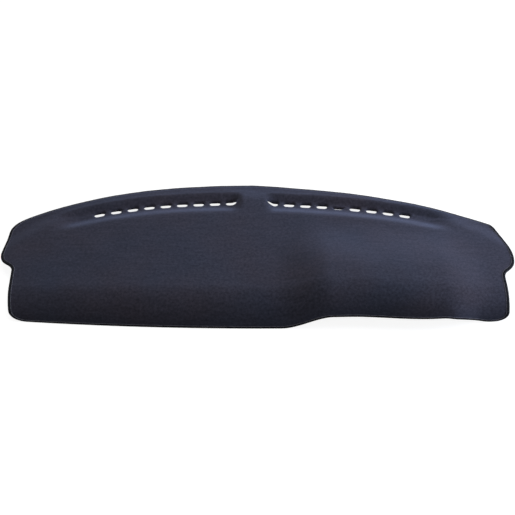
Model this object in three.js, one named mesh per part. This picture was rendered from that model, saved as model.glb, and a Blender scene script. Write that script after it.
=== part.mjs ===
// A moulded carpet cover for the top of a car's dashboard, as it lies on a floor.
// +X runs across the car, +Y towards the windscreen, +Z up. Millimetres.
//
// The cover is one sheet, drawn as a flat pattern and then lifted into its moulded form.
// In the pattern x is the place across the car. q is the way back from the crest of the
// front roll, so it is negative on the roll itself.
import * as THREE from "three";

// The sheet and its sewn edge.
const sheetThickness = 3.5;
const bindingReach = 7;
const bindingYarn = 1.2;
const bindingGap = 0.3;

// The plateau: a plane that falls towards the windscreen, and that drops away towards both ends.
const crestHeight = 97;
const plateauTilt = 0.105;
const flatHalfWidth = 190;
const endFall = 35;
const halfWidth = 725;

// The front roll, and the lip that it ends in.
const rollDepth = 80;
const rollRun = 134;
const lipHeight = 3;
const frontY = -227;
const frontBow = 31;

// The driver's instrument hump, and the arch of the lip under it.
const humpHeight = 38;
const humpStart = 50;
const humpEnd = 650;
const humpBack = 130;
const humpShoulder = 150;
const humpRise = 255;
const archHeight = 46;
const archShoulder = 140;
const archStartInset = 155;
const archEndInset = 150;
const hoodBulge = 17;
const hoodPeakInset = 150;
const hoodPeakHalf = 20;
const hoodRunIn = 240;
const hoodRunOut = 90;

// The windscreen edge, as a fall from its peak: a straight, a square and a fourth power share.
const backY = 305;
const backPeakX = -25;
const backPeakEase = 0.03;
const backLeft = [12, 98, 55];
const backRight = [69, 59, 33];
const backRollDepth = 16;
const backRollFall = 8;

// The demister troughs along the windscreen edge, and the slots at the bottom of each. One slot
// of the right row, counted from 0, is only a slit, as its plug of carpet still hangs in it.
const slotInset = 79;
const slotDriftLeft = 0.015;
const slotDriftRight = 0.051;
const slotCount = 9;
const slotPitch = 48.5;
const slotLength = 31;
const slotWidth = 16;
const firstSlotLeft = -79;
const firstSlotRight = 44;
const halfCutSlot = 4;
const slitWidth = 5;
const troughDepth = 20;
const troughFloor = 15;
const troughBackWall = 30;
const troughFrontWall = 44;
const troughStartRight = 6;
const troughEndWallLeft = 38;
const troughEndWallRight = 30;
const troughOverrunLeft = 50;
const troughOverrunRight = 40;
const troughRunOut = 90;
const ledgeHeight = 13;
const ledgeInset = -33;
const ledgeRun = 88;
const ledgeBend = 30;
const ledgeBendStart = 430;
const ledgeBendRun = 200;
const ledgeBendMost = 1.6;

// The sides: a straight, a notch and an ear at each end. An ease is how far the curve at that
// place keeps its direction.
const cornerRadius = 38;
const leftCornerRadius = 48;
const leftTaper = 7;
const leftSideInset = 38;
const leftNotchQ = 61;
const leftNotchEase = 36;
const leftEarExtra = 5;
const leftEarQ = 136;
const leftEarEase = 50;
const leftBackQ = 235;
const leftBackEase = 28;
const leftEndInset = 45;
const leftEndEase = new THREE.Vector2(28, 22);
const rightSideInset = 39;
const rightNotchQ = 33;
const rightNotchEase = 42;
const rightEarQ = 127;
const rightEarEase = 64;
const rightBackEase = 50;
const rightEndInset = 68;
const rightEndEase = new THREE.Vector2(42, 50);

// Fineness of the surface: points round the outline, along the windscreen edge and on each slot's
// end, and rows of points on the roll, on the plateau and beside the windscreen edge.
const stationCount = 250;
const backEdgePoints = 24;
const slotArcSteps = 4;
const rollRows = 6;
const plateauRows = 8;
const troughRims = [20, 41, 51, 61, 71, 79, 88, 99, 113, 129, 147];
const plateauInset = 152;
const edgeClearance = 8.5;
const slotClearance = 6;
const sliverArea = 0.05;

const matColour = 0x33333f;
const bindingColour = 0x202027;

// Smooth step from 0 at one value to 1 at another.
function ramp(value, from, to) {
  return THREE.MathUtils.smoothstep(value, from, to);
}

// 1 between two values, easing to 0 over a run outside each of them.
function plateauBetween(value, low, high, lowRun, highRun) {
  return ramp(value, low - lowRun, low) * (1 - ramp(value, high, high + highRun));
}

function frontEdge(x) {
  const peak = humpEnd - hoodPeakInset;
  const bulge = hoodBulge * plateauBetween(
    x, peak - hoodPeakHalf, peak + hoodPeakHalf, hoodRunIn, hoodRunOut);
  return frontY + frontBow * (x / halfWidth) ** 2 - bulge;
}

function backEdge(x) {
  const away = Math.hypot((x - backPeakX) / halfWidth, backPeakEase) - backPeakEase;
  const share = x < backPeakX ? backLeft : backRight;
  return backY - share[0] * away - share[1] * away ** 2 - share[2] * away ** 4;
}

// The pattern's q of the windscreen edge.
function backQ(x) {
  return backEdge(x) - frontEdge(x) - rollDepth;
}

// How far the line of slots lies in from the windscreen edge.
function slotLine(x) {
  return slotInset - Math.abs(x) * (x < 0 ? slotDriftLeft : slotDriftRight);
}

const lastSlotLeft = firstSlotLeft - (slotCount - 1) * slotPitch;
const lastSlotRight = firstSlotRight + (slotCount - 1) * slotPitch;

// The share of the troughs' full depth at x.
function troughShare(x) {
  const left = plateauBetween(
    x, lastSlotLeft - troughOverrunLeft, firstSlotLeft, troughRunOut, troughEndWallLeft);
  const right = plateauBetween(
    x, firstSlotRight + troughStartRight, lastSlotRight + troughOverrunRight,
    troughEndWallRight, troughRunOut);
  return left + right;
}

// The plateau and the driver's hump, with no roll and no trough.
function bodyHeight(x, y) {
  const outside = Math.max(0, Math.abs(x) - flatHalfWidth) / (halfWidth - flatHalfWidth);
  const plane = crestHeight - plateauTilt * (y - frontY) - endFall * outside ** 2;
  const across = plateauBetween(
    x, humpStart + humpShoulder, humpEnd - humpShoulder, humpShoulder, humpShoulder);
  const along = 1 - ramp(y, humpBack - humpRise, humpBack);
  return plane + humpHeight * across * along;
}

// Height of the lip: on the floor, but for the arch under the driver's hump.
function lipLine(x) {
  const arch = plateauBetween(
    x, humpStart + archStartInset, humpEnd - archEndInset, archShoulder, archShoulder);
  return lipHeight + archHeight * arch;
}

// A point of the upper face from its place in the pattern.
function facePoint(x, q) {
  const turn = Math.min(1, 1 + q / rollRun) * (Math.PI / 2);
  const y = frontEdge(x) + rollDepth * (1 - Math.cos(turn)) + Math.max(0, q);
  const rim = backEdge(x) - y;
  const line = slotLine(x);
  const bendShare = Math.max(0, Math.abs(x) - ledgeBendStart) / ledgeBendRun;
  const bend = ledgeBend * Math.min(ledgeBendMost, bendShare) ** 2;
  const ledgeFrom = line + ledgeInset - ledgeRun / 2 + bend;
  let z = bodyHeight(x, y);
  z -= (bodyHeight(x, frontEdge(x)) - lipLine(x)) * (1 - Math.sin(turn));
  z -= backRollFall * Math.max(0, 1 - rim / backRollDepth) ** 2;
  const ledgeFall = ledgeHeight * (1 - ramp(rim, ledgeFrom, ledgeFrom + ledgeRun));
  const trough = troughShare(x) * plateauBetween(
    rim, line - troughFloor / 2, line + troughFloor / 2, troughBackWall, troughFrontWall);
  z -= THREE.MathUtils.lerp(ledgeFall, troughDepth, trough);
  return new THREE.Vector3(x, y, z);
}

// The unit normal of the upper face, from the face a little to each side.
function faceNormal(x, q) {
  const step = 0.5;
  const across = facePoint(x + step, q).sub(facePoint(x - step, q));
  const along = facePoint(x, q + step).sub(facePoint(x, q - step));
  return across.cross(along).normalize();
}

// The outline of the pattern, anticlockwise from the front left corner.
function patternOutline() {
  const path = new THREE.Path();
  const lip = -rollRun;
  const leftSideX = leftSideInset - halfWidth;
  const leftEarX = -halfWidth - leftEarExtra;
  const leftEndX = leftEndInset - halfWidth;
  const rightSideX = halfWidth - rightSideInset;
  const rightEndX = halfWidth - rightEndInset;
  const leftCornerX = leftSideX + leftTaper + leftCornerRadius;
  path.moveTo(leftCornerX, lip);
  path.lineTo(rightSideX - cornerRadius, lip);
  path.absarc(rightSideX - cornerRadius, lip + cornerRadius, cornerRadius, -Math.PI / 2, 0);
  path.lineTo(rightSideX, rightNotchQ);
  path.bezierCurveTo(
    rightSideX, rightNotchQ + rightNotchEase, halfWidth, rightEarQ - rightEarEase,
    halfWidth, rightEarQ);
  path.bezierCurveTo(
    halfWidth, rightEarQ + rightBackEase,
    rightEndX + rightEndEase.x, backQ(rightEndX) - rightEndEase.y, rightEndX, backQ(rightEndX));
  const edge = [];
  for (let i = 1; i <= backEdgePoints; i++) {
    const x = THREE.MathUtils.lerp(rightEndX, leftEndX, i / backEdgePoints);
    edge.push(new THREE.Vector2(x, backQ(x)));
  }
  path.splineThru(edge);
  path.bezierCurveTo(
    leftEndX - leftEndEase.x, backQ(leftEndX) - leftEndEase.y,
    -halfWidth, leftBackQ + leftBackEase, -halfWidth, leftBackQ);
  path.lineTo(leftEarX, leftEarQ);
  path.bezierCurveTo(
    leftEarX, leftEarQ - leftEarEase, leftSideX, leftNotchQ + leftNotchEase,
    leftSideX, leftNotchQ);
  path.lineTo(leftSideX + leftTaper, lip + leftCornerRadius);
  path.absarc(
    leftCornerX, lip + leftCornerRadius, leftCornerRadius, Math.PI, Math.PI * 1.5);
  return path.getSpacedPoints(stationCount).slice(0, stationCount);
}

// A closed loop moved towards its inside, or outside when the distance is negative.
function insetLoop(loop, distance) {
  return loop.map((point, i) => {
    const before = loop[(i + loop.length - 1) % loop.length];
    const after = loop[(i + 1) % loop.length];
    const along = after.clone().sub(before).normalize();
    return new THREE.Vector2(point.x - along.y * distance, point.y + along.x * distance);
  });
}

// One round-ended slot of the pattern, anticlockwise, cut over a width from its front side.
function slotLoop(x, cutWidth) {
  const place = (at) => backQ(at) - slotLine(at);
  const reach = slotWidth / 2;
  const half = slotLength / 2 - reach;
  const angle = Math.atan2(place(x + reach) - place(x - reach), slotWidth);
  const centre = new THREE.Vector2(x, place(x));
  const loop = [];
  [1, -1].forEach((side) => {
    for (let i = 0; i <= slotArcSteps; i++) {
      const turn = (i / slotArcSteps - 0.5) * Math.PI + (side < 0 ? Math.PI : 0);
      loop.push(new THREE.Vector2(
        side * half + reach * Math.cos(turn),
        Math.min(cutWidth - reach, reach * Math.sin(turn))));
    }
    loop.push(new THREE.Vector2(0, Math.min(cutWidth - reach, side * reach)));
  });
  return loop.map((p) => p.rotateAround(new THREE.Vector2(), angle).add(centre));
}

// True when the point lies inside the closed loop.
function isInside(point, loop) {
  let inside = false;
  loop.forEach((a, i) => {
    const b = loop[(i + 1) % loop.length];
    const crosses = (a.y > point.y) !== (b.y > point.y);
    if (crosses && point.x < a.x + ((point.y - a.y) * (b.x - a.x)) / (b.y - a.y))
      inside = !inside;
  });
  return inside;
}

function distanceToLoop(point, loop) {
  let nearest = Infinity;
  loop.forEach((a, i) => {
    const side = loop[(i + 1) % loop.length].clone().sub(a);
    const from = point.clone().sub(a);
    const share = THREE.MathUtils.clamp(from.dot(side) / side.lengthSq(), 0, 1);
    nearest = Math.min(nearest, from.sub(side.multiplyScalar(share)).length());
  });
  return nearest;
}

// Rows of points inside the pattern, two columns to each slot: close together on the roll and
// round the troughs, and wider apart on the plateau.
function innerPoints(ring, slots) {
  const points = [];
  const spacing = slotPitch / 2;
  const columns = Math.ceil(halfWidth / spacing);
  const addRow = (placeAt) => {
    for (let i = -columns; i <= columns; i++) {
      const x = i * spacing;
      const point = new THREE.Vector2(x, placeAt(x));
      if (!isInside(point, ring) || distanceToLoop(point, ring) < edgeClearance) continue;
      if (slots.some((s) => isInside(point, s) || distanceToLoop(point, s) < slotClearance))
        continue;
      points.push(point);
    }
  };
  for (let row = 0; row <= rollRows; row++)
    addRow(() => -rollRun * (1 - (row + 1) / (rollRows + 1)));
  troughRims.forEach((rim) => addRow((x) => backQ(x) - (rim * slotLine(x)) / slotInset));
  for (let row = 1; row <= plateauRows; row++)
    addRow((x) => ((backQ(x) - plateauInset) * row) / (plateauRows + 0.5));
  return points;
}

// Delaunay triangles of a set of points, added one at a time.
function triangulate(points) {
  // A hair's shift of each point keeps four of them off one circle.
  const hair = 1e-3;
  const at = points.map((p, i) => [p.x + hair * Math.sin(9.7 * i), p.y + hair * Math.cos(7.3 * i)]);
  const far = 1e5;
  at.push([-far, -far], [far, -far], [0, far]);
  const withCircle = (a, b, c) => {
    const [ax, ay] = at[a];
    const bx = at[b][0] - ax;
    const by = at[b][1] - ay;
    const cx = at[c][0] - ax;
    const cy = at[c][1] - ay;
    const twice = 2 * (bx * cy - by * cx);
    const b2 = bx * bx + by * by;
    const c2 = cx * cx + cy * cy;
    const ux = (cy * b2 - by * c2) / twice;
    const uy = (bx * c2 - cx * b2) / twice;
    return { corners: [a, b, c], x: ax + ux, y: ay + uy, r2: ux * ux + uy * uy };
  };
  const total = points.length;
  let triangles = [withCircle(total, total + 1, total + 2)];
  for (let i = 0; i < total; i++) {
    const [px, py] = at[i];
    const rim = new Map();
    triangles = triangles.filter((t) => {
      if ((t.x - px) ** 2 + (t.y - py) ** 2 >= t.r2) return true;
      t.corners.forEach((u, k) => {
        const v = t.corners[(k + 1) % 3];
        if (!rim.delete(v * (total + 3) + u)) rim.set(u * (total + 3) + v, [u, v]);
      });
      return false;
    });
    rim.forEach(([u, v]) => triangles.push(withCircle(u, v, i)));
  }
  return triangles.map((t) => t.corners).filter((t) => t.every((c) => c < total));
}

function meshOf(name, positions, triangles, colour) {
  const geometry = new THREE.BufferGeometry();
  geometry.setAttribute("position", new THREE.Float32BufferAttribute(positions.flat(), 3));
  geometry.setIndex(triangles.flat());
  geometry.computeVertexNormals();
  const material = new THREE.MeshStandardMaterial({ color: colour, roughness: 1 });
  const mesh = new THREE.Mesh(geometry, material);
  mesh.name = name;
  return mesh;
}

const outline = patternOutline();
const ring = insetLoop(outline, bindingReach);
const slots = [];
for (let i = 0; i < slotCount; i++) {
  slots.push(slotLoop(firstSlotLeft - i * slotPitch, slotWidth));
  slots.push(slotLoop(firstSlotRight + i * slotPitch, i === halfCutSlot ? slitWidth : slotWidth));
}

// The moulded sheet: both faces share one layout, with a wall round the outline and each slot.
function mouldedMat() {
  const inner = [...ring, ...slots.flat(), ...innerPoints(ring, slots)];
  const layout = [...outline, ...inner];
  const faces = triangulate(inner)
    .filter((t) => {
      const [a, b, c] = t.map((k) => inner[k]);
      if (Math.abs(b.clone().sub(a).cross(c.clone().sub(a))) < 2 * sliverArea) return false;
      const centre = a.clone().add(b).add(c).divideScalar(3);
      return isInside(centre, ring) && !slots.some((s) => isInside(centre, s));
    })
    .map((t) => t.map((c) => c + stationCount));
  for (let i = 0; i < stationCount; i++) {
    const j = (i + 1) % stationCount;
    faces.push([i, j, j + stationCount], [i, j + stationCount, i + stationCount]);
  }
  const upper = layout.map((p) => facePoint(p.x, p.y));
  const lower = layout.map((p, i) =>
    upper[i].clone().addScaledVector(faceNormal(p.x, p.y), -sheetThickness));
  const below = layout.length;
  const triangles = [...faces];
  faces.forEach(([a, b, c]) => triangles.push([c + below, b + below, a + below]));
  const wall = (first, count, inwards) => {
    for (let i = 0; i < count; i++) {
      const a = first + (inwards ? (i + 1) % count : i);
      const b = first + (inwards ? i : (i + 1) % count);
      triangles.push([a + below, b + below, b], [a + below, b, a]);
    }
  };
  wall(0, stationCount, false);
  slots.forEach((s, i) => wall(2 * stationCount + i * s.length, s.length, true));
  const positions = [...upper, ...lower].map((p) => p.toArray());
  return meshOf("moulded_mat", positions, triangles, matColour);
}

// The sewn edge: a U of yarn laid round the rim of the sheet, one section at each station. It is
// thin at its two ends, rounded at its corners and fullest at the middle of the rim.
function edgeBinding() {
  const endShare = 0.4;
  const cornerShare = 0.6;
  const rimShare = 1.15;
  const edge = outline.map((p) => facePoint(p.x, p.y));
  const sections = outline.map((p, i) => {
    const up = faceNormal(p.x, p.y);
    const inUp = faceNormal(ring[i].x, ring[i].y);
    const top = edge[i];
    const inTop = facePoint(ring[i].x, ring[i].y);
    const before = edge[(i + stationCount - 1) % stationCount];
    const after = edge[(i + 1) % stationCount];
    const out = after.clone().sub(before).cross(up).normalize();
    const from = (base, normal, rise, reach = 0) =>
      base.clone().addScaledVector(normal, rise).addScaledVector(out, reach);
    const midTop = top.clone().lerp(inTop, 0.5);
    const midUp = up.clone().lerp(inUp, 0.5).normalize();
    const gap = bindingGap;
    const full = gap + bindingYarn;
    const end = gap + bindingYarn * endShare;
    const corner = full * cornerShare;
    const under = -sheetThickness;
    return [
      from(inTop, inUp, gap),
      from(inTop, inUp, end),
      from(midTop, midUp, full),
      from(top, up, corner, corner),
      from(top, up, under / 2, full * rimShare),
      from(top, up, under - corner, corner),
      from(midTop, midUp, under - full),
      from(inTop, inUp, under - end),
      from(inTop, inUp, under - gap),
      from(top, up, under - gap, gap),
      from(top, up, gap, gap),
    ];
  });
  const around = sections[0].length;
  const underCrease = 8;
  const triangles = [];
  sections.forEach((_, i) => {
    const j = (i + 1) % stationCount;
    for (let m = 0; m < around; m++) {
      const n = (m + 1) % around;
      const [a, b, c, d] = [i * around + m, i * around + n, j * around + n, j * around + m];
      // Under the sheet the crease runs the other way, as it does on the sheet itself.
      if (m === underCrease) triangles.push([a, b, d], [b, c, d]);
      else triangles.push([a, b, c], [a, c, d]);
    }
  });
  const positions = sections.flat().map((p) => p.toArray());
  return meshOf("edge_binding", positions, triangles, bindingColour);
}

const group = new THREE.Group();
group.name = "dashboard_cover_mat";
group.add(mouldedMat(), edgeBinding());

// The origin is under the middle of the cover, on the floor.
const box = new THREE.Box3().setFromObject(group);
const centre = box.getCenter(new THREE.Vector3());
group.children.forEach((mesh) => mesh.geometry.translate(-centre.x, -centre.y, -box.min.z));

export default group;
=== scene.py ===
# A moulded carpet cover for the top of a dashboard, lying on a pale floor. Metres.
import bpy
import numpy as np
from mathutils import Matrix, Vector


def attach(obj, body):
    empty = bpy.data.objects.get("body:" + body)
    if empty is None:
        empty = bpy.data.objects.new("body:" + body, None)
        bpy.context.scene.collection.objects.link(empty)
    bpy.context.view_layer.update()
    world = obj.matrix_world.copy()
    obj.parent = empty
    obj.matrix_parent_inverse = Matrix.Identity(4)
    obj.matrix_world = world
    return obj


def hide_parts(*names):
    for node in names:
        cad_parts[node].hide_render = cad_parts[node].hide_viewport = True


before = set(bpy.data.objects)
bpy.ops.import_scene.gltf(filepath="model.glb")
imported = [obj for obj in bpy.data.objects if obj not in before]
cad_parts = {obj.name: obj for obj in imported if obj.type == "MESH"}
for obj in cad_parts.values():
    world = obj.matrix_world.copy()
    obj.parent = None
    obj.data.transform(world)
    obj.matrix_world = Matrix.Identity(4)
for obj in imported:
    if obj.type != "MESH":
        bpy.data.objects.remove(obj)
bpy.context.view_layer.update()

print("frame loaded")

# The form of the sheet, from the same driving sizes as its solid. In the flat pattern x is
# the place across the car, and q is the way back from the crest of the front roll.
form = {
    "thickness": 0.0035,
    "crestHeight": 0.097, "tilt": 0.105, "flatHalfWidth": 0.190,
    "endFall": 0.035, "halfWidth": 0.725,
    "rollDepth": 0.080, "rollRun": 0.134, "lipHeight": 0.003,
    "frontY": -0.227, "frontBow": 0.031,
    "hoodBulge": 0.017, "hoodFrom": 0.170, "hoodTo": 0.130, "hoodRise": 0.240, "hoodFall": 0.090,
    "humpHeight": 0.038, "humpStart": 0.050, "humpEnd": 0.650, "humpBack": 0.130,
    "humpShoulder": 0.150, "humpRise": 0.255,
    "archHeight": 0.046, "archShoulder": 0.140, "archStartIn": 0.155, "archEndIn": 0.150,
    "backY": 0.305, "backPeakX": -0.025, "backPeakRound": 0.03,
    "backLeft": (0.017, 0.098, 0.055), "backRight": (0.076, 0.059, 0.033),
    "backRollDepth": 0.016, "backRollFall": 0.0045,
    "ledgeHeight": 0.013, "ledgeInset": -0.033, "ledgeRun": 0.088,
    "bendDepth": 0.030, "bendStart": 0.430, "bendRun": 0.200, "bendMost": 1.6,
}

# The demister slots, and the troughs that they lie in.
vents = {
    "inset": 0.079, "driftLeft": 0.015, "driftRight": 0.051,
    "count": 9, "pitch": 0.0485, "length": 0.031, "width": 0.016,
    "firstLeft": -0.079, "firstRight": 0.044,
    "halfCut": 4, "slit": 0.0072, "lipDrop": 0.0030, "backDrop": 0.0055, "lipRun": 0.0060,
    "depth": 0.020, "floor": 0.015, "backWall": 0.030, "frontWall": 0.060,
    "endWall": 0.030, "runOut": 0.090,
    "leftOn": 0.050, "leftWallOn": 0.008, "rightIn": 0.006, "rightOn": 0.060,
}

# The outline's sides: a straight, a notch and an ear at each end. The eases are how far the
# curves run straight on from the notch, into the ear and out of it, and into the back edge.
sides = {
    "leftRadius": 0.048, "leftTaper": 0.007, "leftX": -0.686, "leftNotch": 0.058,
    "leftEarX": -0.728, "leftEar": 0.133, "leftBackIn": 0.005, "leftBack": 0.233,
    "leftEndIn": 0.050, "leftEases": (0.036, 0.050, 0.028), "leftEndEase": (0.028, 0.022),
    "rightRadius": 0.038, "rightX": 0.6845, "rightNotch": 0.031,
    "rightEarX": 0.7235, "rightEar": 0.122,
    "rightEndIn": 0.042, "rightEases": (0.042, 0.064, 0.036), "rightEndEase": (0.018, 0.034),
    "cornerSteps": 40, "notchSteps": 60, "endSteps": 80,
}


def ramp(value, start, end):
    # Smooth step: 3w^2 - 2w^3, where w runs from 0 at start to 1 at end.
    w = np.clip((value - start) / (end - start), 0, 1)
    return w * w * (3 - 2 * w)


def between(value, low, high, lowRun, highRun):
    # 1 from low to high, easing to 0 over a run outside each.
    return ramp(value, low - lowRun, low) * (1 - ramp(value, high, high + highRun))


def frontEdge(x):
    # A shallow parabola, less the bulge of the driver's hood.
    bulge = form["hoodBulge"] * between(
        x, form["humpEnd"] - form["hoodFrom"], form["humpEnd"] - form["hoodTo"],
        form["hoodRise"], form["hoodFall"])
    return form["frontY"] + form["frontBow"] * (x / form["halfWidth"]) ** 2 - bulge


def backEdge(x):
    # The rounded peak less a share of the way from it, of its square and of its fourth power.
    peak = form["backPeakRound"]
    away = np.hypot((x - form["backPeakX"]) / form["halfWidth"], peak) - peak
    left = sum(k * away ** p for k, p in zip(form["backLeft"], (1, 2, 4)))
    right = sum(k * away ** p for k, p in zip(form["backRight"], (1, 2, 4)))
    return form["backY"] - np.where(x < form["backPeakX"], left, right)


def backQ(x):
    # The pattern's q of the windscreen edge.
    return backEdge(x) - frontEdge(x) - form["rollDepth"]


def slotLine(x):
    # How far the line of slots lies in from the windscreen edge.
    return vents["inset"] - np.abs(x) * np.where(x < 0, vents["driftLeft"], vents["driftRight"])


def troughShare(x):
    # 1 along each trough, easing out at its ends.
    run = (vents["count"] - 1) * vents["pitch"]
    left = between(x, vents["firstLeft"] - run - vents["leftOn"], vents["firstLeft"],
                   vents["runOut"], vents["endWall"] + vents["leftWallOn"])
    right = between(x, vents["firstRight"] + vents["rightIn"],
                    vents["firstRight"] + run + vents["rightOn"],
                    vents["endWall"], vents["runOut"])
    return left + right


def bodyHeight(x, y):
    # A tilted plane that falls away as a square beyond its flat middle, plus the hump.
    outside = np.maximum(0, np.abs(x) - form["flatHalfWidth"]) / (
        form["halfWidth"] - form["flatHalfWidth"])
    plane = (form["crestHeight"] - form["tilt"] * (y - form["frontY"])
             - form["endFall"] * outside ** 2)
    shoulder = form["humpShoulder"]
    across = between(x, form["humpStart"] + shoulder, form["humpEnd"] - shoulder,
                     shoulder, shoulder)
    along = 1 - ramp(y, form["humpBack"] - form["humpRise"], form["humpBack"])
    return plane + form["humpHeight"] * across * along


def lipLine(x):
    # The lip's height: on the floor, with an arch under the hump.
    arch = between(x, form["humpStart"] + form["archStartIn"],
                   form["humpEnd"] - form["archEndIn"],
                   form["archShoulder"], form["archShoulder"])
    return form["lipHeight"] + form["archHeight"] * arch


def facePoint(x, q):
    # The upper face over the pattern: the body, less the roll as a quarter ellipse, the turned
    # back edge as a square, and the ledge and the troughs as smooth steps. The ledge bends in
    # towards the ends of the cover, as a square.
    turn = np.minimum(1, 1 + q / form["rollRun"]) * (np.pi / 2)
    y = frontEdge(x) + form["rollDepth"] * (1 - np.cos(turn)) + np.maximum(0, q)
    rim = backEdge(x) - y
    line = slotLine(x)
    beyond = np.clip((np.abs(x) - form["bendStart"]) / form["bendRun"], 0, form["bendMost"])
    bend = form["bendDepth"] * beyond ** 2
    ledge = line + form["ledgeInset"] - form["ledgeRun"] / 2 + bend
    z = bodyHeight(x, y)
    z = z - (bodyHeight(x, frontEdge(x)) - lipLine(x)) * (1 - np.sin(turn))
    z = z - form["backRollFall"] * np.maximum(0, 1 - rim / form["backRollDepth"]) ** 2
    half = vents["floor"] / 2
    trough = troughShare(x) * between(
        rim, line - half, line + half, vents["backWall"], vents["frontWall"])
    fall = form["ledgeHeight"] * (1 - ramp(rim, ledge, ledge + form["ledgeRun"]))
    z = z - (1 - trough) * fall - trough * vents["depth"]
    return np.stack([x + 0 * q, y, z], -1)


def unit(v):
    # Each vector divided by its length, which is kept off zero.
    return v / np.maximum(np.linalg.norm(v, axis=-1, keepdims=True), 1e-12)


def bezier(points, steps):
    # A cubic curve through its first and last of four points.
    t = np.linspace(0, 1, steps)[:, None]
    a, b, c, d = np.array(points)
    return (1 - t) ** 3 * a + 3 * t * (1 - t) ** 2 * b + 3 * t ** 2 * (1 - t) * c + t ** 3 * d


def arc(cx, cq, radius, start, end, steps):
    # Part of a circle, from one angle in degrees to another.
    a = np.radians(np.linspace(start, end, steps))
    return np.stack([cx + radius * np.cos(a), cq + radius * np.sin(a)], -1)


def notchCurve(side):
    # From the notch out to the ear, straight on at both.
    notchX, notch, earX, ear = (sides[side + key] for key in ("X", "Notch", "EarX", "Ear"))
    low, high, _ = sides[side + "Eases"]
    points = [(notchX, notch), (notchX, notch + low), (earX, ear - high), (earX, ear)]
    return bezier(points, sides["notchSteps"])


def endCurve(side, startX, start, endX, way):
    # From the ear's back over to the end of the windscreen edge.
    wide, deep = sides[side + "EndEase"]
    end = backQ(endX)
    points = [(startX, start), (startX, start + sides[side + "Eases"][2]),
              (endX + way * wide, end - deep), (endX, end)]
    return bezier(points, sides["endSteps"])


def sideLines():
    # Each side of the pattern from the lip to the windscreen edge: the corner's arc, the notch,
    # the curve to the ear and the curve to the back edge. Points that repeat are left out.
    lip, steps = -form["rollRun"], sides["cornerSteps"]
    r = sides["rightRadius"]
    right = np.concatenate([
        arc(sides["rightX"] - r, lip + r, r, -90, 0, steps),
        [[sides["rightX"], sides["rightNotch"]]],
        notchCurve("right")[1:],
        endCurve("right", sides["rightEarX"], sides["rightEar"],
                 sides["rightEarX"] - sides["rightEndIn"], 1)[1:]])
    r = sides["leftRadius"]
    left = np.concatenate([
        arc(sides["leftX"] + sides["leftTaper"] + r, lip + r, r, 270, 180, steps),
        [[sides["leftX"], sides["leftNotch"]]],
        notchCurve("left")[1:],
        endCurve("left", sides["leftEarX"] + sides["leftBackIn"], sides["leftBack"],
                 sides["leftEarX"] + sides["leftEndIn"], -1)])
    return left, right


print("form ready")

# The mesh of the sheet: columns in step with the slots, and rows in step with the slot line.
# Each of the rims is a span in from the windscreen edge with its number of rows. The relief is
# the slight unevenness of a moulded felt, in two sizes of wave: height, length and count.
sheet = {
    "columnsPerSlot": 13, "innerHalf": 0.560, "outerColumns": 44,
    "cornerRows": 12, "rollStep": 0.004, "plateauRows": 38, "troughReach": 0.136,
    "rims": ((0.136, 0.096, 8), (0.096, 0.046, 25), (0.046, 0.014, 11), (0.014, 0, 6)),
    "waves": ((0.00045, 0.16, 9), (0.00010, 0.030, 24)), "waveSpread": (0.6, 1.6), "seed": 12,
    "lipFade": 0.060, "normalStep": 0.0008, "cornerReach": 0.004,
    "lipSteps": 900, "backSteps": 1600, "flatSteps": 4000,
}


def rowReach(x):
    # The depth of the trough rows, which narrows with the slot line.
    return sheet["troughReach"] * slotLine(x) / vents["inset"]


def rowQ(x, row):
    # 0 to 1 up the roll, 1 to 2 over the plateau, 2 to 3 across the troughs.
    plateau = (row - 1) * (backQ(x) - rowReach(x))
    trough = backQ(x) - (3 - row) * rowReach(x)
    return np.where(row < 1, -form["rollRun"] * (1 - row), np.where(row < 2, plateau, trough))


def rowOf(line):
    # The row that passes through each point of the pattern.
    x, q = line[:, 0], line[:, 1]
    plateau = 1 + q / (backQ(x) - rowReach(x))
    trough = 3 - (backQ(x) - q) / rowReach(x)
    return np.where(q < 0, 1 + q / form["rollRun"], np.where(plateau < 2, plateau, trough))


def rowList():
    # Close together round the corners, on the roll and over the slots.
    radius = sides["leftRadius"]
    corner = radius * (1 - np.cos(np.linspace(0, np.pi / 2, sheet["cornerRows"] + 1)))
    rollRows = round((form["rollRun"] - radius) / sheet["rollStep"])
    roll = np.linspace(radius, form["rollRun"], rollRows + 1)[1:]
    plateau = np.linspace(1, 2, sheet["plateauRows"] + 1)[1:]
    rims = np.concatenate([np.linspace(a, b, n + 1)[1:] for a, b, n in sheet["rims"]])
    return np.concatenate([
        corner / form["rollRun"], roll / form["rollRun"], plateau,
        3 - rims / sheet["troughReach"]])


def patternGrid():
    # x runs straight over the middle columns and fans out to each side line beyond them.
    left, right = sideLines()
    rows = rowList()
    leftRow, rightRow = rowOf(left), rowOf(right)
    leftX = np.interp(rows, leftRow, left[:, 0])[:, None]
    rightX = np.interp(rows, rightRow, right[:, 0])[:, None]
    step = vents["pitch"] / sheet["columnsPerSlot"]
    low = np.ceil((-sheet["innerHalf"] - vents["firstRight"]) / step)
    high = np.floor((sheet["innerHalf"] - vents["firstRight"]) / step)
    middle = vents["firstRight"] + step * np.arange(low, high + 1)
    share = np.linspace(0, 1, sheet["outerColumns"] + 1)
    x = np.concatenate([
        leftX + (middle[0] - leftX) * share[:-1],
        np.repeat(middle[None], len(rows), 0),
        middle[-1] + (rightX - middle[-1]) * share[1:]], 1)
    return x, rowQ(x, rows[:, None])


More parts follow.
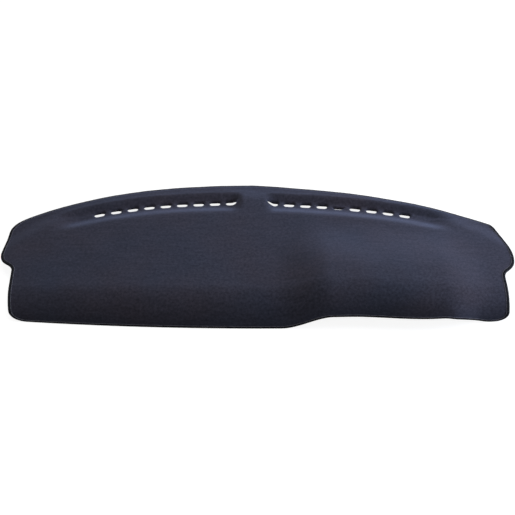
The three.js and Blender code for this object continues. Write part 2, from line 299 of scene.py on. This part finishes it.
def slotDistance(x, q):
    # Signed distance to the nearest round-ended slot, |(u less its half run, v)| less the
    # radius, with the unit way out of it.
    run = vents["pitch"] * np.arange(vents["count"])
    radius = vents["width"] / 2
    half = vents["length"] / 2 - radius
    best, wayX, wayQ = np.full(x.shape, 1.0), np.zeros(x.shape), np.zeros(x.shape)
    for cx in np.concatenate([vents["firstLeft"] - run, vents["firstRight"] + run]):
        low, mid, high = (backQ(at) - slotLine(at) for at in (cx - radius, cx, cx + radius))
        angle = np.arctan2(high - low, 2 * radius)
        c, s = np.cos(angle), np.sin(angle)
        u, v = (x - cx) * c + (q - mid) * s, (q - mid) * c - (x - cx) * s
        du = u - np.clip(u, -half, half)
        length = np.maximum(np.hypot(du, v), 1e-9)
        away = length - radius
        du, v = du / length, v / length
        if np.isclose(cx, vents["firstRight"] + vents["halfCut"] * vents["pitch"]):
            # The plug of this slot still hangs by its back edge: only a slit is open.
            over = (q - mid) * c - (x - cx) * s + radius - vents["slit"]
            du, v = np.where(over > away, 0, du), np.where(over > away, 1, v)
            away = np.maximum(away, over)
        near = away < best
        best = np.where(near, away, best)
        wayX, wayQ = np.where(near, du * c - v * s, wayX), np.where(near, du * s + v * c, wayQ)
    return best, wayX, wayQ


def makeWaves():
    # Plane waves of random heading and phase: amplitude, wave vector and phase for each.
    random = np.random.default_rng(sheet["seed"])
    rows = []
    for height, length, count in sheet["waves"]:
        heading = random.uniform(0, np.pi, count)
        number = 2 * np.pi / (length * random.uniform(*sheet["waveSpread"], count))
        phase = random.uniform(0, 2 * np.pi, count)
        amplitude = np.full(count, height / np.sqrt(count))
        rows.append(np.stack(
            [amplitude, number * np.cos(heading), number * np.sin(heading), phase], 1))
    return np.concatenate(rows)


waveTable = makeWaves()


def relief(x, q):
    # The sum of the plane waves, faded near the lip, less the felt's turn down into each slot
    # as the square of its nearness, deepest on the slot's windscreen side.
    fade = ramp(q, -form["rollRun"], -form["rollRun"] + sheet["lipFade"])
    waves = sum(a * np.sin(kx * x + kq * q + p) for a, kx, kq, p in waveTable)
    away, _, back = slotDistance(x, q)
    near = np.clip(1 - away / vents["lipRun"], 0, 1)
    drop = vents["lipDrop"] + vents["backDrop"] * np.maximum(back, 0)
    return fade * waves - drop * near ** 2


# The model's origin is under the middle of the cover, and the form moves as its solid does.
modelShift = np.array([0.0023155, -0.0367694, -0.0004086])


def feltPoint(x, q):
    # The moulded face with its slight relief, moved to the frame of the model.
    point = facePoint(x, q)
    point[..., 2] += relief(x, q)
    return point + modelShift


def feltNormal(x, q):
    # The cross product of the felt face's slopes across and along the pattern.
    step = sheet["normalStep"]
    across = feltPoint(x + step, q) - feltPoint(x - step, q)
    along = feltPoint(x, q + step) - feltPoint(x, q - step)
    return unit(np.cross(across, along))


def outlineLoop(count):
    # The rim of the pattern, anticlockwise from the left of the lip, evenly spaced over the
    # form, and the length of the rim.
    left, right = sideLines()
    lipX = np.linspace(left[0, 0], right[0, 0], sheet["lipSteps"])
    lip = np.stack([lipX, np.full(len(lipX), -form["rollRun"])], -1)
    x = np.linspace(right[-1, 0], left[-1, 0], sheet["backSteps"])
    loop = np.concatenate([lip, right[1:], np.stack([x, backQ(x)], -1)[1:], left[::-1][1:-1]])
    loop = np.concatenate([loop, loop[:1]])
    point = facePoint(loop[:, 0], loop[:, 1])
    length = np.concatenate([[0], np.cumsum(np.linalg.norm(np.diff(point, axis=0), axis=1))])
    at = np.linspace(0, length[-1], count, endpoint=False)
    return np.stack([np.interp(at, length, loop[:, i]) for i in (0, 1)], -1), length[-1]


def newPiece(name, points, faces, materials):
    # A mesh piece from its points and its lists of faces, each list with a material's number.
    mesh = bpy.data.meshes.new(name)
    mesh.from_pydata(points.tolist(), [], [f for group, _ in faces for f in group.tolist()])
    index = np.concatenate([np.full(len(group), number) for group, number in faces])
    mesh.polygons.foreach_set("material_index", index.astype(np.int32))
    mesh.polygons.foreach_set("use_smooth", np.full(len(index), True))
    for material in materials:
        mesh.materials.append(material)
    mesh.update()
    piece = bpy.data.objects.new(name, mesh)
    bpy.context.scene.collection.objects.link(piece)
    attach(piece, "root")
    return piece


def setUv(piece, uv):
    # One pair of coordinates for each vertex, in metres over the pattern.
    mesh = piece.data
    corner = np.empty(len(mesh.loops), np.int32)
    mesh.loops.foreach_get("vertex_index", corner)
    layer = mesh.uv_layers.new(name="pattern")
    layer.data.foreach_set("uv", uv[corner].astype(np.float32).ravel())


def feltSheet(materials):
    # Both faces share the grid. Cells whose middle is inside a slot are left out, and the
    # corners round each hole move to the slot's outline. A wall joins the faces along every
    # free edge.
    x, q = patternGrid()
    rows, columns = x.shape
    away, wayX, wayQ = slotDistance(x, q)
    middleX = (x[1:, 1:] + x[:-1, 1:] + x[1:, :-1] + x[:-1, :-1]) / 4
    middleQ = (q[1:, 1:] + q[:-1, 1:] + q[1:, :-1] + q[:-1, :-1]) / 4
    kept = slotDistance(middleX, middleQ)[0] > 0
    number = np.arange(rows * columns).reshape(rows, columns)
    corners = np.stack([number[:-1, :-1], number[:-1, 1:], number[1:, 1:], number[1:, :-1]], -1)
    quads = corners[kept]
    edges = np.concatenate([quads[:, [i, (i + 1) % 4]] for i in range(4)])
    total = rows * columns
    free = edges[~np.isin(edges[:, 0] * total + edges[:, 1], edges[:, 1] * total + edges[:, 0])]
    bare = np.zeros(total, bool)
    bare[free.ravel()] = True
    move = bare.reshape(x.shape) & (np.abs(away) < sheet["cornerReach"])
    x, q = np.where(move, x - away * wayX, x), np.where(move, q - away * wayQ, q)
    top = feltPoint(x, q).reshape(-1, 3)
    bottom = top - form["thickness"] * feltNormal(x, q).reshape(-1, 3)
    used = np.unique(quads)
    place = np.full(total, -1)
    place[used] = np.arange(len(used))
    quads, free = place[quads], place[free]
    below = len(used)
    walls = np.stack([free[:, 1], free[:, 0], free[:, 0] + below, free[:, 1] + below], -1)
    under = quads[:, ::-1] + below
    points = np.concatenate([top[used], bottom[used]])
    piece = newPiece("felt_sheet", points, [(quads, 0), (walls, 0), (under, 1)], materials)
    uv = np.stack([x.ravel(), q.ravel()], -1)[used]
    setUv(piece, np.concatenate([uv, uv]))
    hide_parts("moulded_mat")
    return piece


# The sewn edge: a core that fills the U, yarn wound over it, and the needle thread along its
# inner side. Lengths are in metres, and jitter, puff, share, taper and sink are shares.
edge = {
    "reach": 0.0066, "rimOut": 0.0017, "rise": 0.0012, "square": 0.75,
    "wraps": 1760, "slant": 0.0016, "yarnWide": 0.00125, "yarnHigh": 0.00062,
    "wrapRings": 9, "wrapSides": 5, "endDip": 0.0011, "wander": 0.00025, "seed": 5,
    "jitter": 0.12, "puff": (-0.10, 0.14), "endShare": 0.125, "endTaper": 0.45,
    "coreStations": 1000, "corePoints": 11, "coreIn": 0.00045, "coreDeep": 0.0004,
    "threadIn": 0.0068, "threadRadius": 0.00080, "stitches": 1240, "stitchRise": 0.00090,
    "threadSway": 0.0002, "threadSink": 0.3, "threadRings": 5, "threadSides": 5,
    "wrapUv": (0.004, 0.020), "threadUv": 0.003, "stations": 6000, "slopeReach": 4,
}


def makeEdgeFrame():
    # Along the rim: its place in the pattern and the way out of it there, and on the form the
    # way along it and the way out of the sheet, across that and the sheet's normal.
    loop, length = outlineLoop(edge["stations"])
    reach = edge["slopeReach"]
    along = unit(np.roll(loop, -reach, 0) - np.roll(loop, reach, 0))
    outward = np.stack([along[:, 1], -along[:, 0]], -1)
    point = feltPoint(loop[:, 0], loop[:, 1])
    up = feltNormal(loop[:, 0], loop[:, 1])
    run = unit(np.roll(point, -reach, 0) - np.roll(point, reach, 0))
    return {"loop": loop, "outward": outward, "run": run, "out": unit(np.cross(run, up)),
            "length": length}


edgeFrame = makeEdgeFrame()


def onRim(values, share):
    # The values along the closed rim, read between stations at shares of its length.
    at = np.mod(share, 1) * len(values)
    low = np.floor(at).astype(int) % len(values)
    w = (at - np.floor(at))[..., None]
    return values[low] * (1 - w) + values[(low + 1) % len(values)] * w


def edgePoint(share, inward, height):
    # A point by its distance in from the rim and its height over the felt: over the felt it
    # follows the form, and past the rim it goes straight out.
    inside = np.maximum(inward, 0)[..., None]
    place = onRim(edgeFrame["loop"], share) - onRim(edgeFrame["outward"], share) * inside
    base = feltPoint(place[..., 0], place[..., 1])
    normal = feltNormal(place[..., 0], place[..., 1])
    beyond = np.maximum(-inward, 0)[..., None]
    return base + onRim(edgeFrame["out"], share) * beyond + normal * height[..., None]


def uSection(t, swell=0.0):
    # Half an ellipse from over the felt, round the rim, to under it. Its sine and cosine are
    # raised to a power below one, which squares it off.
    sine, cosine = np.sin(np.pi * t), np.cos(np.pi * t)
    wide = edge["reach"] + edge["rimOut"] + swell
    high = form["thickness"] / 2 + edge["rise"] + swell
    inward = edge["reach"] - wide * np.maximum(sine, 0) ** edge["square"]
    height = -form["thickness"] / 2 + high * np.sign(cosine) * np.abs(cosine) ** edge["square"]
    return inward, height


def tubeFaces(rings, around, count, closed):
    # Side faces of tubes with their points in rings, and end faces where they don't close.
    base = (np.arange(count) * rings * around)[:, None, None]
    ring = np.arange(rings if closed else rings - 1)[None, :, None]
    point = np.arange(around)[None, None, :]
    after = (ring + 1) % rings
    beside = (point + 1) % around
    quads = np.stack(np.broadcast_arrays(
        base + ring * around + point, base + ring * around + beside,
        base + after * around + beside, base + after * around + point), -1).reshape(-1, 4)
    if closed:
        return quads, np.empty((0, around), int)
    tube = np.arange(count)[:, None] * rings * around
    first = tube + np.arange(around)[None, ::-1]
    last = tube + (rings - 1) * around + np.arange(around)
    return quads, np.concatenate([first, last])


def tubeRings(centre, wideWay, highWay, wide, high, around):
    # An ellipse of points round each centre.
    turn = np.linspace(0, 2 * np.pi, around, endpoint=False)
    return (centre[..., None, :]
            + wideWay[..., None, :] * (wide[..., None] * np.cos(turn))[..., None]
            + highWay[..., None, :] * (high[..., None] * np.sin(turn))[..., None])


def yarnWraps():
    # Each wrap follows the U section and slants along the rim, with a little wander of its own.
    # Towards its ends it dips into the felt and tapers.
    random = np.random.default_rng(edge["seed"])
    count, rings, around = edge["wraps"], edge["wrapRings"], edge["wrapSides"]
    t = np.linspace(0, 1, rings)[None] * np.ones((count, 1))
    jitter = random.uniform(-edge["jitter"], edge["jitter"], (count, 1))
    share = (np.arange(count)[:, None] + jitter) / count
    share = share + edge["slant"] * (t - 0.5) / edgeFrame["length"]
    inward, height = uSection(t)
    nearEnd = np.clip(1 - np.minimum(t, 1 - t) / edge["endShare"], 0, 1)
    height = height - np.sign(0.5 - t) * edge["endDip"] * nearEnd
    wander = random.uniform(-1, 1, (count, 1)) * edge["wander"]
    inward = inward + wander * (1 - np.sin(np.pi * t))
    puff = 1 + random.uniform(*edge["puff"], (count, 1))
    centre = edgePoint(share, inward, height)
    forward = unit(np.gradient(centre, axis=1))
    wideWay = onRim(edgeFrame["run"], share)
    wideWay = unit(wideWay - forward * np.sum(wideWay * forward, -1, keepdims=True))
    highWay = np.cross(forward, wideWay)
    taper = (1 - edge["endTaper"] * nearEnd) * puff
    points = tubeRings(centre, wideWay, highWay, edge["yarnWide"] * taper,
                       edge["yarnHigh"] * taper, around)
    quads, ends = tubeFaces(rings, around, count, False)
    return points.reshape(-1, 3), quads, ends, share, t


def edgeCore():
    # The filling of the U, a closed band just under the yarn. Its inner side lies just inside
    # the felt's faces.
    stations, deep = edge["coreStations"], edge["coreDeep"]
    t = np.linspace(0, 1, edge["corePoints"])
    inward, height = uSection(t, -edge["coreIn"])
    backIn = np.array([edge["reach"], deep, deep, edge["reach"]])
    backHigh = np.array([-form["thickness"] + deep, -form["thickness"] + deep, -deep, -deep])
    inward, height = np.concatenate([inward, backIn]), np.concatenate([height, backHigh])
    share = np.linspace(0, 1, stations, endpoint=False)[:, None] * np.ones(len(inward))
    points = edgePoint(share, inward + 0 * share, height + 0 * share)
    quads, _ = tubeFaces(stations, len(inward), 1, True)
    return points.reshape(-1, 3), quads, share


def yarnEdge(materials):
    # The wraps and their core are one piece.
    points, quads, ends, share, t = yarnWraps()
    corePoints, coreQuads, coreShare = edgeCore()
    piece = newPiece("yarn_edge", np.concatenate([points, corePoints]),
                     [(quads, 0), (ends, 0), (coreQuads + len(points), 0)], materials)
    length = edgeFrame["length"]
    around = np.linspace(0, 1, edge["wrapSides"], endpoint=False)
    uvAround, uvAlong = edge["wrapUv"]
    wrapUv = np.stack(np.broadcast_arrays(
        (share * length)[..., None] + around * uvAround, t[..., None] * uvAlong), -1)
    wrapUv = wrapUv.reshape(-1, 2)
    coreUv = np.stack([(coreShare * length).ravel(), np.zeros(coreShare.size)], -1)
    setUv(piece, np.concatenate([wrapUv, coreUv]))
    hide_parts("edge_binding")
    return piece


def needleThread(materials):
    # One thread round the cover. Over each stitch its height is half a sine, less a share of
    # its radius, and it sways sideways by a whole one.
    rings = edge["stitches"] * edge["threadRings"]
    at = np.arange(rings)
    share = at / rings
    phase = (at % edge["threadRings"]) / edge["threadRings"]
    inward = np.full(rings, edge["threadIn"]) + edge["threadSway"] * np.sin(2 * np.pi * phase)
    height = (edge["stitchRise"] * np.sin(np.pi * phase)
              - edge["threadSink"] * edge["threadRadius"])
    centre = edgePoint(share, inward, height)
    forward = unit(np.roll(centre, -1, 0) - np.roll(centre, 1, 0))
    out = onRim(edgeFrame["out"], share)
    out = unit(out - forward * np.sum(out * forward, -1, keepdims=True))
    radius = np.full(rings, edge["threadRadius"])
    points = tubeRings(centre, out, np.cross(forward, out), radius, radius, edge["threadSides"])
    quads, _ = tubeFaces(rings, edge["threadSides"], 1, True)
    piece = newPiece("needle_thread", points.reshape(-1, 3), [(quads, 0)], materials)
    around = np.linspace(0, 1, edge["threadSides"], endpoint=False)
    uv = np.stack(np.broadcast_arrays(
        share[:, None] * edgeFrame["length"], around[None] * edge["threadUv"]), -1)
    setUv(piece, uv.reshape(-1, 2))
    return piece


def newGroup(name, inputs, outputs):
    # A shader node group with its sockets; an input is a name, a kind and a value.
    group = bpy.data.node_groups.new(name, "ShaderNodeTree")
    for label, kind, value in inputs:
        socket = group.interface.new_socket(
            label, in_out="INPUT", socket_type="NodeSocket" + kind)
        if value is not None:
            socket.default_value = value
    for label, kind in outputs:
        group.interface.new_socket(label, in_out="OUTPUT", socket_type="NodeSocket" + kind)
    return group, group.nodes.new("NodeGroupInput"), group.nodes.new("NodeGroupOutput")


def addNode(tree, kind, settings=None, **inputs):
    # A node with its settings, each input given a value or another node's output. An input goes
    # by its name, with _ for a space, or by i and its number.
    node = tree.nodes.new("ShaderNode" + kind)
    for key, value in (settings or {}).items():
        setattr(node, key, value)
    for key, value in inputs.items():
        numbered = key[0] == "i" and key[1:].isdigit()
        socket = node.inputs[int(key[1:]) if numbered else key.replace("_", " ")]
        if isinstance(value, bpy.types.NodeSocket):
            tree.links.new(value, socket)
        else:
            socket.default_value = value
    return node


# The noise of the two shader groups: the fibres' wander, and the spread of the tones.
grain = {
    "bendScale": 140.0, "bendDetail": 1.0, "bendSize": 0.004,
    "fibreDetail": 3.0, "fibreRoughness": 0.6,
    "toneDetail": 2.0, "toneRoughness": 0.55, "toneLow": 0.30, "toneHigh": 0.70,
}


def makeFibreGroup():
    # Noise drawn out along one way of the pattern, at a place that a coarser noise bends: short
    # lying fibres.
    group, source, result = newGroup("fibreNap", [
        ("Vector", "Vector", None), ("Along", "Float", 200.0), ("Across", "Float", 900.0),
        ("Swirl", "Float", 0.4)], [("Height", "Float")])
    bend = addNode(group, "TexNoise", Vector=source.outputs["Vector"],
                   Scale=grain["bendScale"], Detail=grain["bendDetail"])
    centred = addNode(group, "VectorMath", {"operation": "SUBTRACT"}, i0=bend.outputs["Color"],
                      i1=(0.5, 0.5, 0.5))
    swirl = addNode(group, "VectorMath", {"operation": "SCALE"}, i0=centred.outputs[0],
                    Scale=source.outputs["Swirl"])
    swirlSize = addNode(group, "VectorMath", {"operation": "SCALE"}, i0=swirl.outputs[0],
                        Scale=grain["bendSize"])
    place = addNode(group, "VectorMath", {"operation": "ADD"}, i0=source.outputs["Vector"],
                    i1=swirlSize.outputs[0])
    scale = addNode(group, "CombineXYZ", X=source.outputs["Along"],
                    Y=source.outputs["Across"], Z=1.0)
    drawn = addNode(group, "VectorMath", {"operation": "MULTIPLY"}, i0=place.outputs[0],
                    i1=scale.outputs[0])
    noise = addNode(group, "TexNoise", Vector=drawn.outputs[0], Scale=1.0,
                    Detail=grain["fibreDetail"], Roughness=grain["fibreRoughness"])
    group.links.new(noise.outputs["Fac"], result.inputs["Height"])
    return group


def makeToneGroup():
    # Two colours mixed by noise at one size: the middle of the noise, spread from 0 to 1 and
    # drawn towards a half by the amount.
    group, source, result = newGroup("toneDrift", [
        ("Vector", "Vector", None), ("Size", "Float", 0.05), ("Amount", "Float", 1.0),
        ("Dark", "Color", (0, 0, 0, 1)), ("Light", "Color", (1, 1, 1, 1)),
    ], [("Color", "Color")])
    inverse = addNode(group, "Math", {"operation": "DIVIDE"}, i0=1.0, i1=source.outputs["Size"])
    noise = addNode(group, "TexNoise", Vector=source.outputs["Vector"],
                    Scale=inverse.outputs[0],
                    Detail=grain["toneDetail"], Roughness=grain["toneRoughness"])
    spread = addNode(group, "MapRange", Value=noise.outputs["Fac"],
                     From_Min=grain["toneLow"], From_Max=grain["toneHigh"])
    centred = addNode(group, "Math", {"operation": "SUBTRACT"}, i0=spread.outputs[0], i1=0.5)
    weighed = addNode(group, "Math", {"operation": "MULTIPLY_ADD"}, i0=centred.outputs[0],
                      i1=source.outputs["Amount"], i2=0.5)
    mix = addNode(group, "Mix", {"data_type": "RGBA"}, i0=weighed.outputs[0],
                  i6=source.outputs["Dark"], i7=source.outputs["Light"])
    group.links.new(mix.outputs[2], result.inputs["Color"])
    return group


def newMaterial(name):
    # A material with its node tree and its shader.
    material = bpy.data.materials.new(name)
    material.use_nodes = True
    tree = material.node_tree
    return material, tree, tree.nodes["Principled BSDF"]


def placeGroup(tree, group, **inputs):
    # A node group in a tree, each input given a value or another node's output.
    node = tree.nodes.new("ShaderNodeGroup")
    node.node_tree = group
    for key, value in inputs.items():
        if isinstance(value, bpy.types.NodeSocket):
            tree.links.new(value, node.inputs[key])
        else:
            node.inputs[key].default_value = value
    return node


# The felt: near black with a blue cast, mottled, and brushed along the length of the cover.
# The nap and the fine fibres each have their fineness along and across, and their swirl.
felt = {
    "warm": (0.0380, 0.0325, 0.0425, 1), "cool": (0.0300, 0.0320, 0.0475, 1), "drift": 0.24,
    "mottle": 0.008, "mottleAmount": 0.9, "mottleTones": (0.70, 1.30),
    "nap": (12.0, 70.0, 0.5), "napTones": (0.88, 1.12), "napShare": 0.6,
    "fine": (260.0, 900.0, 1.0), "fineTones": (0.72, 1.28), "noiseSpread": (0.3, 0.7),
    "bump": 0.5, "bumpDepth": 0.0006, "roughness": 0.95, "specular": 0.15,
    "sheen": 0.35, "sheenRoughness": 0.45, "sheenTint": (0.60, 0.68, 1.0, 1),
}


def fibreTone(tree, fibres, spread, tones):
    # The middle of the fibres' noise, spread over a range of brightness.
    return addNode(tree, "MapRange", i0=fibres.outputs[0], i1=spread[0], i2=spread[1],
                   i3=tones[0], i4=tones[1])


def feltMaterial(name, colours, fibre, tone):
    # The colour is a large drift times a small mottle times the tones of the nap and the fine
    # fibres. The bump is the nap's share plus the fine fibres.
    material, tree, shader = newMaterial(name)
    uv = addNode(tree, "UVMap", {"uv_map": "pattern"}).outputs["UV"]
    hue = placeGroup(tree, tone, Vector=uv, Size=colours["drift"], Amount=1.0,
                     Dark=colours["warm"], Light=colours["cool"])
    dark, light = ((grey, grey, grey, 1) for grey in colours["mottleTones"])
    mottle = placeGroup(tree, tone, Vector=uv, Size=colours["mottle"],
                        Amount=colours["mottleAmount"], Dark=dark, Light=light)
    nap, fine = (placeGroup(tree, fibre, Vector=uv, Along=along, Across=across, Swirl=swirl)
                 for along, across, swirl in (colours["nap"], colours["fine"]))
    toned = addNode(tree, "Mix", {"data_type": "RGBA", "blend_type": "MULTIPLY"}, i0=1.0,
                    i6=hue.outputs[0], i7=mottle.outputs[0])
    napTone = fibreTone(tree, nap, colours["noiseSpread"], colours["napTones"])
    fineTone = fibreTone(tree, fine, colours["noiseSpread"], colours["fineTones"])
    streak = addNode(tree, "Math", {"operation": "MULTIPLY"}, i0=napTone.outputs[0],
                     i1=fineTone.outputs[0])
    grey = addNode(tree, "CombineColor", i0=streak.outputs[0], i1=streak.outputs[0],
                   i2=streak.outputs[0])
    colour = addNode(tree, "Mix", {"data_type": "RGBA", "blend_type": "MULTIPLY"}, i0=1.0,
                     i6=toned.outputs[2], i7=grey.outputs[0])
    tree.links.new(colour.outputs[2], shader.inputs["Base Color"])
    height = addNode(tree, "Math", {"operation": "MULTIPLY_ADD"}, i0=nap.outputs[0],
                     i1=colours["napShare"], i2=fine.outputs[0])
    bump = addNode(tree, "Bump", Strength=colours["bump"], Distance=colours["bumpDepth"],
                   Height=height.outputs[0])
    tree.links.new(bump.outputs[0], shader.inputs["Normal"])
    shader.inputs["Roughness"].default_value = colours["roughness"]
    shader.inputs["Specular IOR Level"].default_value = colours["specular"]
    shader.inputs["Sheen Weight"].default_value = colours["sheen"]
    shader.inputs["Sheen Roughness"].default_value = colours["sheenRoughness"]
    shader.inputs["Sheen Tint"].default_value = colours["sheenTint"]
    return material


# The non-woven back of the felt, flatter and a little greyer.
backing = dict(felt, warm=(0.050, 0.048, 0.052, 1), cool=(0.042, 0.044, 0.052, 1),
               mottle=0.006, bump=0.8, sheen=0.15)

# The yarn: dull black polyester, and a needle thread of the same kind. The thread's light colour
# is a painted highlight along the lit crest of the sewn edge.
yarn = {
    "dark": (0.008, 0.008, 0.011, 1), "light": (0.019, 0.019, 0.025, 1), "drift": 0.004,
    # The needle thread's colours are a painted highlight: light paint for the lit crest of the
    # sewn edge.
    "threadHighlightDark": (0.085, 0.083, 0.100, 1), "threadHighlightLight": (0.180, 0.176, 0.205, 1),
    "strand": (1400.0, 260.0, 0.3), "bump": 0.6, "bumpDepth": 0.0003,
    "roughness": 0.75, "specular": 0.2,
}


def yarnMaterial(name, dark, light, fibre, tone):
    # Filaments along the strand for the bump, and a drift of tone from wrap to wrap.
    material, tree, shader = newMaterial(name)
    uv = addNode(tree, "UVMap", {"uv_map": "pattern"}).outputs["UV"]
    drift = placeGroup(tree, tone, Vector=uv, Size=yarn["drift"], Amount=1.0, Dark=dark,
                       Light=light)
    along, across, swirl = yarn["strand"]
    strand = placeGroup(tree, fibre, Vector=uv, Along=along, Across=across, Swirl=swirl)
    tree.links.new(drift.outputs[0], shader.inputs["Base Color"])
    bump = addNode(tree, "Bump", Strength=yarn["bump"], Distance=yarn["bumpDepth"],
                   Height=strand.outputs[0])
    tree.links.new(bump.outputs[0], shader.inputs["Normal"])
    shader.inputs["Roughness"].default_value = yarn["roughness"]
    shader.inputs["Specular IOR Level"].default_value = yarn["specular"]
    return material


# The studio: the photograph's view from above, a bluish soft light low on the right, weaker
# ones overhead and behind, and a pale floor that glows for the camera, so that the slots read
# white. A light has its place, its size, its power and its colour.
studio = {
    "target": (0.0013, -0.0387, 0.0402), "elevation": 48.0, "distance": 3.2,
    "focal": 1131.2, "frame": 515, "sensor": 36.0,
    "lights": {
        "key": ((3.38, 0.10, 1.28), 1.8, 128.0, (0.70, 0.80, 1.0)),
        "top": ((0.0, 0.0, 3.65), 1.8, 36.0, (1, 1, 1)),
        "back": ((0.9, 3.3, 1.5), 1.8, 14.0, (1, 0.97, 1)),
    },
    "worldLight": 0.20, "floorSize": 40.0, "floorGlow": 0.90, "floorColour": 0.30,
}


def makeCamera():
    # The lens is the focal length in pixels times the sensor's width over the frame's.
    data = bpy.data.cameras.new("camera")
    data.sensor_width = studio["sensor"]
    data.lens = studio["focal"] * studio["sensor"] / studio["frame"]
    camera = bpy.data.objects.new("camera", data)
    bpy.context.scene.collection.objects.link(camera)
    elevation = np.radians(studio["elevation"])
    target = Vector(studio["target"])
    way = Vector((0, -np.cos(elevation), np.sin(elevation)))
    camera.location = target + studio["distance"] * way
    camera.rotation_euler = (target - camera.location).to_track_quat("-Z", "Y").to_euler()
    bpy.context.scene.camera = camera


def makeLight(name, place, size, power, colour):
    # A square light that faces the camera's target.
    data = bpy.data.lights.new(name, "AREA")
    data.size = size
    data.energy = power
    data.color = colour
    light = bpy.data.objects.new(name, data)
    bpy.context.scene.collection.objects.link(light)
    light.location = place
    aim = Vector(studio["target"]) - light.location
    light.rotation_euler = aim.to_track_quat("-Z", "Y").to_euler()


def makeFloor():
    # A plane that is lit as a pale floor, and glows for the camera alone.
    half = studio["floorSize"] / 2
    mesh = bpy.data.meshes.new("studio_floor")
    corners = [(-half, -half, 0), (half, -half, 0), (half, half, 0), (-half, half, 0)]
    mesh.from_pydata(corners, [], [(0, 1, 2, 3)])
    floor = bpy.data.objects.new("studio_floor", mesh)
    bpy.context.scene.collection.objects.link(floor)
    material, tree, shader = newMaterial("pale_floor")
    shade = studio["floorColour"]
    shader.inputs["Base Color"].default_value = (shade, shade, shade, 1)
    shader.inputs["Roughness"].default_value = 1.0
    shader.inputs["Specular IOR Level"].default_value = 0.0
    shader.inputs["Emission Color"].default_value = (1, 1, 1, 1)
    path = addNode(tree, "LightPath")
    glow = addNode(tree, "Math", {"operation": "MULTIPLY"}, i0=path.outputs["Is Camera Ray"],
                   i1=studio["floorGlow"])
    tree.links.new(glow.outputs[0], shader.inputs["Emission Strength"])
    mesh.materials.append(material)


def makeWorld():
    # White for the camera, and a weak even light for the rest.
    world = bpy.data.worlds.new("studio")
    world.use_nodes = True
    tree = world.node_tree
    path = addNode(tree, "LightPath")
    strength = addNode(tree, "MapRange", i0=path.outputs["Is Camera Ray"],
                       To_Min=studio["worldLight"], To_Max=1.0)
    background = tree.nodes["Background"]
    background.inputs["Color"].default_value = (1, 1, 1, 1)
    tree.links.new(strength.outputs[0], background.inputs["Strength"])
    bpy.context.scene.world = world


makeCamera()
makeWorld()
for name, light in studio["lights"].items():
    makeLight(name, *light)
makeFloor()
bpy.context.scene.view_settings.view_transform = "Standard"
print("studio ready")

fibre, tone = makeFibreGroup(), makeToneGroup()
feltLook = feltMaterial("black_felt", felt, fibre, tone)
backLook = feltMaterial("felt_back", backing, fibre, tone)
yarnLook = yarnMaterial("edge_yarn", yarn["dark"], yarn["light"], fibre, tone)
# The needle thread's light colours paint the highlight along the crest of the sewn edge.
threadHighlightLook = yarnMaterial("needle_thread", yarn["threadHighlightDark"], yarn["threadHighlightLight"], fibre, tone)
print("materials ready")

mat = feltSheet([feltLook, backLook])
print("sheet", len(mat.data.vertices), "points", len(mat.data.polygons), "faces")
wound = yarnEdge([yarnLook])
thread = needleThread([threadHighlightLook])
print("edge", len(wound.data.polygons), "thread", len(thread.data.polygons), "faces")
